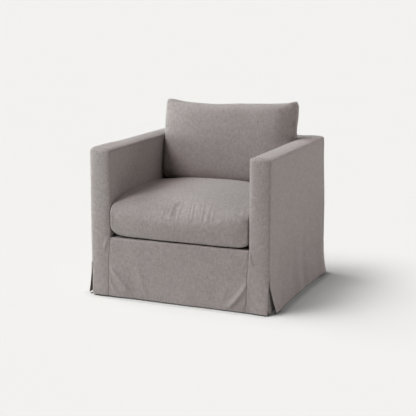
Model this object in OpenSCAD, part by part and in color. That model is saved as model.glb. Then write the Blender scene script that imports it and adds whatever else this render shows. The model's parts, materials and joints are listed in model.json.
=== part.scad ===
// Slipcovered armchair: a hardwood frame with sprung seat and webbed back, foam and wadding,
// a loose floor-length cover, and two loose cushions.
// Millimetres. +Z is up, the front faces -Y, and the sitter's left hand is on the +X side.
// The origin is on the floor under the middle of the chair.

/* [Body] */
// Width over the outside faces of the arms
body_w = 860; // [760:10:1000]
// Depth from the front of the arms to the outside back
body_d = 806; // [720:2:900]
// Height of the arms and of the back frame
arm_h = 685; // [640:5:740]
// Thickness of each arm, cover to cover
arm_t = 95; // [90:1:130]
// Thickness of the back, cover to cover
back_t = 95; // [90:1:130]
// Height of the deck that the seat cushion lies on
deck_z = 280; // [260:5:320]

/* [Skirt] */
// Height of the hem above the floor
hem_z = 7; // [4:1:20]
// Height of the tops of the corner slits, where the skirt starts to flare
flare_z = 165; // [120:5:200]
// How far the side hems stand out from the arms
side_flare = 25; // [10:1:40]
// How far the front and back hems stand out
front_flare = 15; // [8:1:30]

/* [Cushions] */
// Height of the crown of the seat cushion
seat_crown_z = 490; // [470:5:520]
// Height of the back cushion's top corners
back_top_z = 853; // [800:1:900]
// How far the seat cushion's front bulges past the arms
seat_bulge = 8; // [0:1:15]

/* [Feet] */
// Height of the frame above the floor
foot_h = 56; // [45:1:80]
// Radius of a foot at its top
foot_r = 24; // [18:1:28]

/* [Suspension] */
// Number of seat springs
springs = 5; // [4:1:6]
// Number of bars across one seat spring
spring_bars = 27; // [21:2:35]
// Number of upright strips of back webbing
webs = 5; // [3:1:6]

/* [Hidden] */
$fn = 48;

// Layers from the cover inwards
cloth = 2;
slack = 3;
skin = cloth + slack;
wadding_t = 8;
board_t = 3;
front_foam_t = 12;
top_foam_t = 20;
post_t = 45;
rail_t = 25;
rail_h = 189;

// Faces of the cover
half_w = body_w / 2;
half_d = body_d / 2;
bay_x = half_w - arm_t;
bay_y = half_d - back_t;

// Faces of the bare frame
frame_x = half_w - skin - wadding_t - board_t;
frame_in_x = frame_x - post_t;
frame_y0 = -(half_d - skin - front_foam_t);
frame_y1 = half_d - skin - wadding_t - board_t;
back_in_y = frame_y1 - post_t;
frame_top = arm_h - skin - top_foam_t;
rail_top = foot_h + rail_h;
post_d = 70;
top_rail_h = 30;
back_top_rail_h = 45;
side_rail_h = 120;
tack_z0 = deck_z + 5;
tack_h = 30;
stile_w = 44;
block_leg = 90;
block_h = 45;

// Screws
screw_r = 2.5;
screw_hole_r = 2.6;
head_r = 5;
head_hole_r = 5.1;
head_h = 3.5;
screw_l = 80;

// Feet
foot_x = frame_in_x - 30;
foot_y0 = frame_y0 + rail_t + 30;
foot_y1 = back_in_y - 30;
foot_tip_r = 19;
glide_h = 4;
glide_r = 14;
bolt_r = 4;
bolt_up = 40;
bolt_down = 25;
nut_r = 5.5;
nut_flange_r = 11;
nut_flange_h = 1.5;
nut_l = 12;

// Springs
wire_r = 1.9;
spring_half_w = 25;
spring_gap = 130;
clip_w = 16;
clip_t = 1;
spring_z = rail_top + clip_t + wire_r + 0.2;
spring_y0 = frame_y0 + rail_t / 2;
spring_y1 = back_in_y + rail_t / 2;
tie_r = 1.4;

// Deck layers, from the springs up
insulator_z = spring_z + wire_r + 3;
insulator_t = 4;
deck_foam_z = insulator_z + insulator_t;
deck_x = frame_in_x - board_t - 0.5;
edge_back_y = frame_y0 + 45;
edge_r = 20;
corner_r = 16;
foam_ease = 10;

// Cushions
cushion_gap = 3;
seat_x = bay_x - cushion_gap;
seat_y0 = -half_d - seat_bulge;
seat_y1 = bay_y - 8;
seat_z = deck_z + 1;
seat_side_z = 448;
pillow_x = bay_x - 8;
ear_x = bay_x + 3;
pillow_y0 = 128;
pillow_y1 = bay_y - 6;
pillow_z = 459;
pillow_sag = 14;
zip_half = 270;
zip_w = 24;
tape_t = 1;
teeth_w = 4;
teeth_t = 1.4;
seat_zip_z = 365;
pillow_zip_z = 520;

// ---- Outlines ----

// Points of an arc about c from angle a0 to a1
function arc(c, r, a0, a1, n = 8) =
    [for (i = [0:n]) let (a = a0 + (a1 - a0) * i / n) c + r * [cos(a), sin(a)]];

// Cross-section of a hanging panel: upright at face, then flaring out to the hem
function hanging(face, flare, top) = [
    [face, top], [face, flare_z], [face + flare, hem_z],
    [face + flare - cloth, hem_z], [face - cloth, flare_z], [face - cloth, top]
];

// Points of a crowned edge from (x0, z_side) over z_mid to (x1, z_side)
function bowed(x0, x1, z_side, z_mid, n = 12) =
    [for (i = [0:n]) let (s = i / n) [x0 + (x1 - x0) * s, z_side + (z_mid - z_side) * 4 * s * (1 - s)]];

// ---- Placing ----

// Outline in (y, z), extruded from x0 to x1
module along_x(x0, x1) { translate([x0, 0, 0]) rotate([90, 0, 90]) linear_extrude(x1 - x0) children(); }

// Outline in (x, z), extruded from y0 to y1
module along_y(y0, y1) { translate([0, y1, 0]) rotate([90, 0, 0]) linear_extrude(y1 - y0) children(); }

// Box from its lowest to its highest corner
module box(low, high) { translate(low) cube(high - low); }

// The right-hand twin of a left-hand piece
module twin() { mirror([1, 0, 0]) children(); }

// A piece and its twin
module both_sides() {
    children();
    twin() children();
}

module at_feet() {
    both_sides() {
        translate([foot_x, foot_y0, 0]) children();
        translate([foot_x, foot_y1, 0]) children();
    }
}

// ---- Screws ----

// Screws that run along X through the left posts into the cross rails: [y, z] of each
across_screws = [
    [frame_y0 + rail_t / 2, foot_h + 45], [frame_y0 + rail_t / 2, rail_top - 45],
    [back_in_y + rail_t / 2, foot_h + 45], [back_in_y + rail_t / 2, rail_top - 45],
    [back_in_y + rail_t / 2, tack_z0 + tack_h / 2],
    [back_in_y + post_t / 2, frame_top - top_rail_h - 8]
];
// Screws that run down through the left arm's top rail into its posts: [x, y] of each
down_screws = [
    [frame_in_x + post_t / 2, frame_y0 + post_d / 2],
    [frame_in_x + post_t / 2, back_in_y + 11]
];

// Countersunk screw pointing along -Z with its head's face at the origin
module screw(r, cap_r, length) {
    translate([0, 0, -head_h]) cylinder(h = head_h, r = cap_r);
    translate([0, 0, -length]) cylinder(h = length - head_h, r = r);
}

module left_screws(r, cap_r, length) {
    for (p = across_screws) translate([frame_x, p[0], p[1]]) rotate([0, 90, 0]) screw(r, cap_r, length);
    for (p = down_screws) translate([p[0], p[1], frame_top]) screw(r, cap_r, length);
}

module screw_holes() { both_sides() left_screws(screw_hole_r, head_hole_r, screw_l + 0.5); }

module frame_screws() { color("silver") both_sides() left_screws(screw_r, head_r, screw_l); }

// ---- Frame ----

module bored() {
    difference() {
        children();
        screw_holes();
    }
}

module cross_rail(y0, y1, z0, z1) {
    color("burlywood") bored() box([-frame_in_x, y0, z0], [frame_in_x, y1, z1]);
}

module front_rail() { cross_rail(frame_y0, frame_y0 + rail_t, foot_h, rail_top); }

module back_rail() { cross_rail(back_in_y, back_in_y + rail_t, foot_h, rail_top); }

module back_tack_rail() { cross_rail(back_in_y, back_in_y + rail_t, tack_z0, tack_z0 + tack_h); }

module back_top_rail() { cross_rail(back_in_y, frame_y1, frame_top - back_top_rail_h, frame_top); }

module back_centre_stile() {
    color("burlywood") box([-stile_w / 2, back_in_y, tack_z0 + tack_h],
        [stile_w / 2, back_in_y + rail_t, frame_top - back_top_rail_h]);
}

module side_rail() {
    color("burlywood")
        box([frame_in_x, frame_y0 + post_d, foot_h], [frame_x, back_in_y, foot_h + side_rail_h]);
}

module post(y0, y1) {
    color("burlywood") bored() box([frame_in_x, y0, foot_h], [frame_x, y1, frame_top - top_rail_h]);
}

module front_post() { post(frame_y0, frame_y0 + post_d); }

module back_post() { post(back_in_y, frame_y1); }

module arm_top_rail() {
    color("burlywood") bored()
        box([frame_in_x, frame_y0, frame_top - top_rail_h], [frame_x, frame_y1, frame_top]);
}

// Glue block in a corner of the seat frame; dir is 1 at the front and -1 at the back
module corner_block(y, dir) {
    linear_extrude(block_h)
        polygon([[frame_in_x, y], [frame_in_x - block_leg, y], [frame_in_x, y + dir * block_leg]]);
}

module corner_blocks() {
    color("tan") difference() {
        translate([0, 0, foot_h]) both_sides() {
            corner_block(frame_y0 + rail_t, 1);
            corner_block(back_in_y, -1);
        }
        at_feet() translate([0, 0, foot_h - 1]) cylinder(h = block_h + 2, r = nut_r + 0.1);
    }
}

// ---- Feet ----

module feet() {
    color("saddlebrown") at_feet() difference() {
        translate([0, 0, glide_h]) cylinder(h = foot_h - glide_h, r1 = foot_tip_r, r2 = foot_r);
        translate([0, 0, foot_h - bolt_down - 0.5]) cylinder(h = bolt_down + 1, r = bolt_r + 0.1);
    }
}

module foot_glides() { color("dimgray") at_feet() cylinder(h = glide_h, r = glide_r); }

module foot_bolts() {
    color("silver") at_feet() translate([0, 0, foot_h - bolt_down])
        cylinder(h = bolt_down + bolt_up, r = bolt_r);
}

module foot_tee_nuts() {
    color("silver") at_feet() translate([0, 0, foot_h + block_h - nut_l]) difference() {
        union() {
            cylinder(h = nut_l, r = nut_r);
            translate([0, 0, nut_l]) cylinder(h = nut_flange_h, r = nut_flange_r);
        }
        translate([0, 0, -1]) cylinder(h = nut_l + nut_flange_h + 2, r = bolt_r + 0.1);
    }
}

// ---- Suspension ----

// Points along one sinuous spring: bars across, joined by half-round bends at alternate ends
function spring_path() =
    let (pitch = (spring_y1 - spring_y0) / (spring_bars - 1), bend_r = pitch / 2, bar = spring_half_w - bend_r)
    [for (i = [0:spring_bars - 1], a = [-150, -90, -30, 30])
        if (a < 0 && a > -60 ? i < spring_bars - 1 : a < 0 || i < spring_bars - 1)
            let (side = i % 2 == 0 ? 1 : -1, y = spring_y0 + pitch * i)
            a == -150 ? [-side * bar, y, 0] : a == -90 ? [side * bar, y, 0] :
            [side * (bar + bend_r * cos(a)), y + bend_r + bend_r * sin(a), 0]];

function unit(v) = v / norm(v);

// Tube of a few flat sides along a level path
module tube(path, r, sides = 5) {
    n = len(path);
    rings = [for (i = [0:n - 1])
        let (t = unit(path[min(i + 1, n - 1)] - path[max(i - 1, 0)]), across = [t[1], -t[0], 0])
        for (k = [0:sides - 1]) path[i] + r * (cos(360 * k / sides) * across + [0, 0, sin(360 * k / sides)])];
    walls = [for (i = [0:n - 2], k = [0:sides - 1])
        let (a = i * sides + k, b = i * sides + (k + 1) % sides)
        for (f = [[a, b, b + sides], [a, b + sides, a + sides]]) f];
    caps = [[for (k = [sides - 1:-1:0]) k], [for (k = [0:sides - 1]) (n - 1) * sides + k]];
    polyhedron(rings, concat(walls, caps));
}

module at_springs() {
    for (i = [0:springs - 1]) translate([(i - (springs - 1) / 2) * spring_gap, 0, 0]) children();
}

module seat_springs() {
    color("dimgray") at_springs() translate([0, 0, spring_z]) tube(spring_path(), wire_r);
}

// Hooked clip that holds a spring's end bar on a rail; its mouth opens towards the seat
module spring_clip() {
    inner = wire_r + 0.2;
    along_x(-clip_w / 2, clip_w / 2) polygon([
        [-9, -inner - clip_t], [9, -inner - clip_t], [9, -inner], [-inner - 0.4, -inner],
        [-inner - 0.4, inner], [inner + 1, inner], [inner + 1, inner + clip_t],
        [-inner - 0.4 - clip_t, inner + clip_t], [-inner - 0.4 - clip_t, -inner], [-9, -inner]
    ]);
}

module spring_clips() {
    color("silver") at_springs() {
        translate([0, spring_y0, spring_z]) spring_clip();
        translate([0, spring_y1, spring_z]) mirror([0, 1, 0]) spring_clip();
    }
}

module spring_tie_wires() {
    reach = (springs - 1) / 2 * spring_gap + spring_half_w;
    color("khaki") for (y = [-130, 110])
        translate([-reach, y, spring_z - wire_r - tie_r])
            rotate([0, 90, 0]) cylinder(h = 2 * reach, r = tie_r);
}

module back_webbing() {
    web_w = 50;
    web_t = 1.2;
    span = 2 * (frame_in_x - 60);
    top = frame_top - 10;
    color("tan") {
        for (i = [0:webs - 1])
            let (x = -span / 2 + span * i / (webs - 1))
            box([x - web_w / 2, back_in_y - web_t, tack_z0 + 5], [x + web_w / 2, back_in_y, top]);
        for (z = [400, 520])
            box([-deck_x, back_in_y - 2 * web_t, z], [deck_x, back_in_y - web_t, z + web_w]);
    }
}

// ---- Boards ----

module arm_inner_board() {
    color("peru") box([frame_in_x - board_t, frame_y0, insulator_z], [frame_in_x, back_in_y, frame_top]);
}

module arm_outer_board() {
    color("peru") box([frame_x, frame_y0, foot_h], [frame_x + board_t, frame_y1 + board_t, frame_top]);
}

module back_outer_board() {
    color("peru") box([-frame_x, frame_y1, foot_h], [frame_x, frame_y1 + board_t, frame_top]);
}

module dust_cover() {
    color("dimgray") difference() {
        box([-frame_x, frame_y0, foot_h - 1], [frame_x, frame_y1, foot_h]);
        at_feet() translate([0, 0, foot_h - 5]) cylinder(h = 10, r = foot_r + 2);
    }
}

// ---- Foam and wadding ----

module deck_insulator() {
    color("dimgray")
        box([-deck_x, edge_back_y, insulator_z], [deck_x, back_in_y - 3, insulator_z + insulator_t]);
}

module deck_foam() {
    color("lemonchiffon") box([-deck_x, edge_back_y, deck_foam_z], [deck_x, back_in_y - 3, deck_z - cloth]);
}

// Foam over the front rail, rounded where the deck turns down
module front_rail_foam() {
    y0 = -half_d + skin;
    top = deck_z - cloth;
    r = edge_r - cloth;
    color("lemonchiffon") along_x(-bay_x, bay_x) polygon(concat(
        arc([y0 + r, top - r], r, 180, 90),
        [[edge_back_y, top], [edge_back_y, insulator_z], [frame_y0, insulator_z]],
        [[frame_y0, foot_h], [y0, foot_h]]
    ));
}

// Block up to top, with its upright edges and top side edges eased
module eased(x0, x1, y0, y1, top) {
    r = foam_ease;
    intersection() {
        along_y(y0 - 1, y1 + 1) polygon(concat(
            [[x0, 0], [x1, 0]], arc([x1 - r, top - r], r, 0, 90, 4), arc([x0 + r, top - r], r, 90, 180, 4)
        ));
        linear_extrude(top + 1) polygon(concat(
            arc([x0 + r, y0 + r], r, 180, 270, 4), arc([x1 - r, y0 + r], r, 270, 360, 4),
            arc([x1 - r, y1 - r], r, 0, 90, 4), arc([x0 + r, y1 - r], r, 90, 180, 4)
        ));
    }
}

// Foam on the inside, top and front of one arm
module arm_foam() {
    x0 = bay_x + skin;
    x1 = half_w - skin;
    y0 = -half_d + skin;
    y1 = half_d - skin;
    top = arm_h - skin;
    r = corner_r - skin;
    color("lemonchiffon") intersection() {
        union() {
            along_x(x0, x1) polygon(concat(
                arc([y0 + r, top - r], r, 180, 90), arc([y1 - r, top - r], r, 90, 0),
                [[y1, frame_top], [frame_y0, frame_top], [frame_y0, foot_h], [y0, foot_h]]
            ));
            box([x0, frame_y0 - 1, deck_z], [frame_in_x - board_t, back_in_y - 3, frame_top + 1]);
        }
        eased(x0, x1, y0, y1, top);
    }
}

// Foam on the inside and top of the back
module back_foam() {
    x = bay_x + skin;
    y0 = bay_y + skin;
    y1 = half_d - skin;
    top = arm_h - skin;
    r = corner_r - skin;
    color("lemonchiffon") along_x(-x, x) polygon(concat(
        [[y0, deck_z]], arc([y0 + foam_ease, top - foam_ease], foam_ease, 180, 90, 4),
        arc([y1 - r, top - r], r, 90, 0),
        [[y1, frame_top], [back_in_y - 3, frame_top], [back_in_y - 3, deck_z]]
    ));
}

module arm_wadding() {
    color("white") box([frame_x + board_t, frame_y0, foot_h], [half_w - skin, frame_y1 + board_t, frame_top]);
}

module back_wadding() {
    x = half_w - skin;
    y = half_d - skin;
    color("white") translate([0, 0, foot_h]) linear_extrude(frame_top - 8 - foot_h) polygon(concat(
        [[-x, frame_y1 + board_t], [x, frame_y1 + board_t]],
        arc([x - wadding_t, y - wadding_t], wadding_t, 0, 90, 4),
        arc([-x + wadding_t, y - wadding_t], wadding_t, 90, 180, 4)
    ));
}

// ---- Cover ----

cover_colour = [0.6, 0.57, 0.55];

// Band that runs up the front of an arm from the hem, over the top and a little way down the back
module arm_boxing() {
    y0 = -half_d;
    y1 = half_d;
    r = corner_r;
    color(cover_colour) along_x(bay_x, half_w) polygon(concat(
        [[y0 - front_flare, hem_z], [y0, flare_z]],
        arc([y0 + r, arm_h - r], r, 180, 90), arc([y1 - r, arm_h - r], r, 90, 0),
        arc([y1 - r, arm_h - r], r - cloth, 0, 90), arc([y0 + r, arm_h - r], r - cloth, 90, 180),
        [[y0 + cloth, flare_z], [y0 - front_flare + cloth, hem_z]]
    ));
}

module outside_arm() {
    y0 = -half_d + cloth;
    y1 = half_d - cloth;
    top = arm_h - cloth;
    r = corner_r - cloth;
    color(cover_colour) union() {
        along_x(half_w - cloth, half_w) polygon(concat(
            [[y0, flare_z]], arc([y0 + r, top - r], r, 180, 90),
            arc([y1 - r, top - r], r, 90, 0), [[y1, flare_z]]
        ));
        along_y(y0, y1) polygon(hanging(half_w, side_flare, flare_z + 10));
    }
}

module inside_arm() {
    y0 = -half_d + cloth;
    top = arm_h - cloth;
    r = corner_r - cloth;
    color(cover_colour) along_x(bay_x, bay_x + cloth) polygon(concat(
        [[y0, deck_z + 0.5]], arc([y0 + r, top - r], r, 180, 90), [[bay_y, top], [bay_y, deck_z + 0.5]]
    ));
}

module front_panel() {
    y0 = -half_d;
    r = edge_r;
    color(cover_colour) along_x(-bay_x, bay_x) polygon(concat(
        [[y0 - front_flare, hem_z], [y0, flare_z]], arc([y0 + r, deck_z - r], r, 180, 90),
        [[edge_back_y, deck_z], [edge_back_y, deck_z - cloth]], arc([y0 + r, deck_z - r], r - cloth, 90, 180),
        [[y0 + cloth, flare_z], [y0 - front_flare + cloth, hem_z]]
    ));
}

module deck() {
    color(cover_colour) box([-deck_x, edge_back_y, deck_z - cloth], [deck_x, back_in_y - 3, deck_z]);
}

module inside_back() {
    color(cover_colour) box([-bay_x, bay_y, deck_z + 0.5], [bay_x, bay_y + cloth, arm_h - cloth]);
}

module back_boxing() {
    y1 = half_d;
    r = corner_r;
    color(cover_colour) along_x(-bay_x, bay_x) polygon(concat(
        [[bay_y, arm_h - cloth], [bay_y, arm_h]], arc([y1 - r, arm_h - r], r, 90, 0),
        arc([y1 - r, arm_h - r], r - cloth, 0, 90)
    ));
}

module outside_back() {
    color(cover_colour) along_x(-half_w, half_w)
        polygon(hanging(half_d, front_flare, arm_h - corner_r));
}

// L-shaped flaps that hang behind the corner slits
module corner_underlay() {
    t = 1.5;
    leaf = 110;
    x1 = half_w - cloth;
    y1 = half_d - cloth;
    linear_extrude(flare_z + 10 - hem_z) polygon([
        [x1, y1], [x1 - leaf, y1], [x1 - leaf, y1 - t], [x1 - t, y1 - t], [x1 - t, y1 - leaf], [x1, y1 - leaf]
    ]);
}

module corner_underlays() {
    color(cover_colour * 0.8) translate([0, 0, hem_z]) both_sides() {
        corner_underlay();
        mirror([0, 1, 0]) corner_underlay();
    }
}

// ---- Seat cushion ----

// Side view of the seat cushion, shrunk by s all round
module seat_side(s = 0) {
    y0 = seat_y0 + s;
    y1 = seat_y1 - s;
    z0 = seat_z + s;
    back_z = 452 - s;
    top = seat_crown_z - s;
    polygon(concat(
        arc([y0 + 42, z0 + 42], 42, 270, 180, 5), arc([y0 + 62, top - 92], 62, 180, 120, 5),
        bowed(y0 + 62, y1 - 40, back_z - 6, top),
        [[y1 - 12, back_z - 12], [y1, back_z - 30], [y1, z0 + 30], [y1 - 30, z0]]
    ));
}

// Front view of the seat cushion, shrunk by s all round
module seat_front(s = 0) {
    x = seat_x - s;
    z0 = seat_z + s;
    side = seat_side_z - s;
    top = seat_crown_z - s;
    polygon(concat(
        arc([x - 30, z0 + 30], 30, 270, 360, 5), arc([x - 16, side - 16], 16, 0, 60, 3),
        bowed(x - 20, -x + 20, side, top), arc([-x + 16, side - 16], 16, 120, 180, 3),
        arc([-x + 30, z0 + 30], 30, 180, 270, 5)
    ));
}

module seat_block(s = 0) {
    intersection() {
        along_x(-seat_x - 1, seat_x + 1) seat_side(s);
        along_y(seat_y0 - 1, seat_y1 + 1) seat_front(s);
    }
}

module seat_core() {
    box([-seat_x + 32, seat_y0 + 38, seat_z + 22], [seat_x - 32, seat_y1 - 34, seat_side_z - 18]);
}

module seat_cushion_cover() {
    color(cover_colour) difference() {
        seat_block();
        seat_block(cloth);
    }
}

module seat_cushion_wrap() {
    color("white") difference() {
        seat_block(cloth);
        seat_core();
    }
}

module seat_cushion_core() { color("lemonchiffon") seat_core(); }

// ---- Back cushion ----

// Side view of the back cushion, shrunk by s all round: fuller at the front and low down
module pillow_side(s = 0) {
    seam_y = 236;
    y0 = pillow_y0 + s;
    y1 = pillow_y1 - s;
    top = back_top_z - s;
    z0 = pillow_z + s;
    polygon([
        [seam_y + 5, top], [seam_y - 6, top], [seam_y - 40, top - 34], [y0 + 40, top - 90], [y0 + 18, top - 150],
        [y0 + 4, top - 215], [y0, top - 280], [y0 + 4, top - 330], [y0 + 22, z0 + 28], [y0 + 52, z0 + 8],
        [y0 + 90, z0], [y1 - 16, z0], [y1 - 3, z0 + 16], [y1, z0 + 60], [y1, top - 150], [y1 - 8, top - 90],
        [seam_y + 34, top - 30]
    ]);
}

// Front view of the back cushion: the top corners stand up and out
module pillow_front(s = 0) {
    x = pillow_x - s;
    e = ear_x - s;
    top = back_top_z - s;
    z0 = pillow_z + s;
    polygon(concat(
        [[-x + 14, z0], [x - 14, z0], [x, z0 + 14], [x, z0 + 180]], arc([e - 12, top - 12], 12, 0, 90, 4),
        bowed(e - 24, -e + 24, top - 1, top - pillow_sag, 10), arc([-e + 12, top - 12], 12, 90, 180, 4),
        [[-x, z0 + 180], [-x, z0 + 14]]
    ));
}

module pillow(s = 0) {
    intersection() {
        along_x(-ear_x - 1, ear_x + 1) pillow_side(s);
        along_y(pillow_y0 - 1, pillow_y1 + 1) pillow_front(s);
    }
}

module back_cushion_cover() {
    color(cover_colour) difference() {
        pillow();
        pillow(cloth);
    }
}

module back_cushion_fill() { color("white") pillow(cloth); }

// ---- Zips ----

// Tape and teeth lying on a cushion's rear face at y, along x
module zip(y, z) {
    box([-zip_half, y, z - zip_w / 2], [zip_half, y + tape_t, z + zip_w / 2]);
    box([-zip_half, y + tape_t, z - teeth_w / 2], [zip_half, y + tape_t + teeth_t, z + teeth_w / 2]);
}

// Slider that straddles the teeth, with its tab hanging down; it is stored at the +X end
module slider(y, z) {
    gap = 0.3;
    half_h = teeth_w / 2 + gap;
    wall = 1.2;
    y0 = y + tape_t + gap;
    y1 = y + tape_t + teeth_t + gap;
    x = zip_half - 8;
    box([x - 5, y1, z - half_h - wall], [x + 5, y1 + 1, z + half_h + wall]);
    for (side = [-1, 1])
        let (mid = z + side * (half_h + wall / 2))
        box([x - 5, y0, mid - wall / 2], [x + 5, y1, mid + wall / 2]);
    box([x - 2.5, y1 + 1, z - 22], [x + 2.5, y1 + 1.8, z + 2]);
}

module seat_cushion_zip() { color("dimgray") union() { zip(seat_y1, seat_zip_z); } }

module seat_zip_slider() { color("silver") union() { slider(seat_y1, seat_zip_z); } }

module back_cushion_zip() { color("dimgray") union() { zip(pillow_y1, pillow_zip_z); } }

module back_zip_slider() { color("silver") union() { slider(pillow_y1, pillow_zip_z); } }

// ---- Nodes ----

front_rail();
back_rail();
side_rail();  // left_side_rail
twin() side_rail();  // right_side_rail
front_post();  // left_front_post
twin() front_post();  // right_front_post
back_post();  // left_back_post
twin() back_post();  // right_back_post
arm_top_rail();  // left_arm_top_rail
twin() arm_top_rail();  // right_arm_top_rail
back_top_rail();
back_tack_rail();
back_centre_stile();
corner_blocks();
frame_screws();
seat_springs();
spring_clips();
spring_tie_wires();
back_webbing();
arm_inner_board();  // left_arm_inner_board
twin() arm_inner_board();  // right_arm_inner_board
arm_outer_board();  // left_arm_outer_board
twin() arm_outer_board();  // right_arm_outer_board
back_outer_board();
dust_cover();
deck_insulator();
deck_foam();
front_rail_foam();
arm_foam();  // left_arm_foam
twin() arm_foam();  // right_arm_foam
back_foam();
arm_wadding();  // left_arm_wadding
twin() arm_wadding();  // right_arm_wadding
back_wadding();
inside_arm();  // cover_left_inside_arm
twin() inside_arm();  // cover_right_inside_arm
arm_boxing();  // cover_left_arm_boxing
twin() arm_boxing();  // cover_right_arm_boxing
outside_arm();  // cover_left_outside_arm
twin() outside_arm();  // cover_right_outside_arm
front_panel();  // cover_front_panel
deck();  // cover_deck
inside_back();  // cover_inside_back
back_boxing();  // cover_back_boxing
outside_back();  // cover_outside_back
corner_underlays();  // cover_corner_underlays
seat_cushion_cover();
seat_cushion_wrap();
seat_cushion_core();
seat_cushion_zip();
seat_zip_slider();
back_cushion_cover();
back_cushion_fill();
back_cushion_zip();
back_zip_slider();
feet();
foot_glides();
foot_bolts();
foot_tee_nuts();
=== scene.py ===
import json
import math

import bmesh
import bpy
import numpy as np
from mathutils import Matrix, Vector

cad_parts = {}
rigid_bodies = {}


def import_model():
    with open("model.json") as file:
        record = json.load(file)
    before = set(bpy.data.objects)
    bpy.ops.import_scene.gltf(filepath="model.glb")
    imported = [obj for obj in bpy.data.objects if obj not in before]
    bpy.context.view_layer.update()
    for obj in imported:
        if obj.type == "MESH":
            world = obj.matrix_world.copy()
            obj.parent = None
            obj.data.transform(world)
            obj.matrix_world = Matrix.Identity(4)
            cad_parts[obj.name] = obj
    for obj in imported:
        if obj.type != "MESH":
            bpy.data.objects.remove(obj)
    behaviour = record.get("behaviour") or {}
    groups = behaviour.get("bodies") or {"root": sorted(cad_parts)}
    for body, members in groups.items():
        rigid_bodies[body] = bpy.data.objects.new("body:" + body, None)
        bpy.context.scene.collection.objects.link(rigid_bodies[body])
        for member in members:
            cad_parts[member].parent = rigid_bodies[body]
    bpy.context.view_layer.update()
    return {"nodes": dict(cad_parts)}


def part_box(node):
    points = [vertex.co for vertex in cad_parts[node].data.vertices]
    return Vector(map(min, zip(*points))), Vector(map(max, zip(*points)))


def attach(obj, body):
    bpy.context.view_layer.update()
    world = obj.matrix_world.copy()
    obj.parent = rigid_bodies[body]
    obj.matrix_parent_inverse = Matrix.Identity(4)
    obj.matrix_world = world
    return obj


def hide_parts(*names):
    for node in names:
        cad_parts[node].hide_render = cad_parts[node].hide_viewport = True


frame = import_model()
scene = bpy.context.scene
scene.view_settings.view_transform = "Standard"

# ---------------------------------------------------------------- camera
AZ, EL = math.radians(22.58), math.radians(11.52)
DISTANCE, LENS, SENSOR = 5.048, 91.9, 36.0
BACKWARD = Vector((math.sin(AZ) * math.cos(EL), -math.cos(AZ) * math.cos(EL), math.sin(EL)))
RIGHT = Vector((math.cos(AZ), math.sin(AZ), 0.0))
AIM = RIGHT * -0.0192 + Vector((0.0, 0.0, 0.3666))
camera = bpy.data.objects.new("camera", bpy.data.cameras.new("camera"))
scene.collection.objects.link(camera)
camera.location = AIM + BACKWARD * DISTANCE
camera.rotation_mode = "QUATERNION"
camera.rotation_quaternion = (-BACKWARD).to_track_quat("-Z", "Y")
camera.data.sensor_width, camera.data.lens = SENSOR, LENS
camera.data.clip_start, camera.data.clip_end = 0.1, 1000.0
scene.camera = camera

# ---------------------------------------------------------------- sizes from the frame
arm, deck_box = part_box("cover_left_arm_boxing"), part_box("cover_deck")
BX, HW = arm[0].x, arm[1].x  # inner and outer face of an arm
HEM, AH = arm[0].z, arm[1].z  # heights of the hem and of the arms
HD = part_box("cover_back_boxing")[1].y  # outer face of the back; the arms' fronts are at -HD
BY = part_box("cover_inside_back")[0].y  # inner face of the back
DZ = deck_box[1].z  # height of the deck
DECK_X, DECK_Y0, DECK_Y1 = deck_box[1].x, deck_box[0].y, deck_box[1].y
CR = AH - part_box("cover_outside_back")[1].z  # radius where the boxing turns over a corner
EDGE = 0.012  # radius where the front panel turns onto the deck
CLOTH = 0.0016  # thickness of the cloth
SPAN = (HW - BX) / 2  # half the width of an arm
ROLL, CROWN = 0.0125, 0.0035  # drop of the boxing's rolled edges, rise of its middle
SIDE_IN = ROLL + 0.0015  # how far in the side panels' seams lie
SLIT, BACK_SLIT = {1: 0.136, -1: 0.155}, 0.145  # heights of the slits, front (each side) and back
FLAP_TOP = 0.172  # height of the flaps behind the slits
CUSHION_GAP = 0.002  # least room between a cushion and an arm


SIDE_NAME = {1: "left", -1: "right"}  # the sitter's left is on the +X side


# ---------------------------------------------------------------- arithmetic
def grid(u, v):
    return np.meshgrid(u, v, indexing="ij")


def smooth(x, a, b):
    t = np.clip((x - a) / (b - a), 0, 1)
    return t * t * (3 - 2 * t)


def bell(x, centre, width):
    return np.exp(-(((x - centre) / width) ** 2))


def noise(u, v, seed):
    """Smooth noise with unit cells, from -1 to 1."""
    u, v = np.broadcast_arrays(np.asarray(u, float), np.asarray(v, float))
    grid = np.random.RandomState(seed).uniform(-1, 1, (61, 67))
    iu, iv = np.floor(u).astype(int), np.floor(v).astype(int)
    fu, fv = u - iu, v - iv
    fu, fv = fu * fu * (3 - 2 * fu), fv * fv * (3 - 2 * fv)
    at = lambda i, j: grid[(iu + i) % 61, (iv + j) % 67]
    low = at(0, 0) * (1 - fu) + at(1, 0) * fu
    high = at(0, 1) * (1 - fu) + at(1, 1) * fu
    return low * (1 - fv) + high * fv


FINE = np.array([0, 0.4, 0.9, 1.5, 2.2, 3.0, 3.9, 5.0, 6.4, 8.2, 10.4, 13.0]) / 1000


def spread(a, b, step=0.008, start=True, end=True):
    """Places from a to b, close together at the ends that are seams or hems."""
    first = a + FINE if start else np.array([a])
    last = (b - FINE)[::-1] if end else np.array([b])
    n = max(2, int(round((last[0] - first[-1]) / step)))
    return np.concatenate([first, np.linspace(first[-1], last[0], n + 1)[1:-1], last])


def roll(d):
    """How far a rolled edge has dropped at distance d from the side that it rolls down to."""
    t = np.clip(1 - d / SPAN, 0, 1)
    return ROLL * (1 - (1 - t**3.6) ** (1 / 3.6))


ROLL_D = SPAN * np.concatenate([[0.0], np.logspace(-9, 0, 3000)])
ROLL_S = np.concatenate([[0.0], np.cumsum(np.hypot(np.diff(ROLL_D), np.diff(roll(ROLL_D))))])


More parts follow.
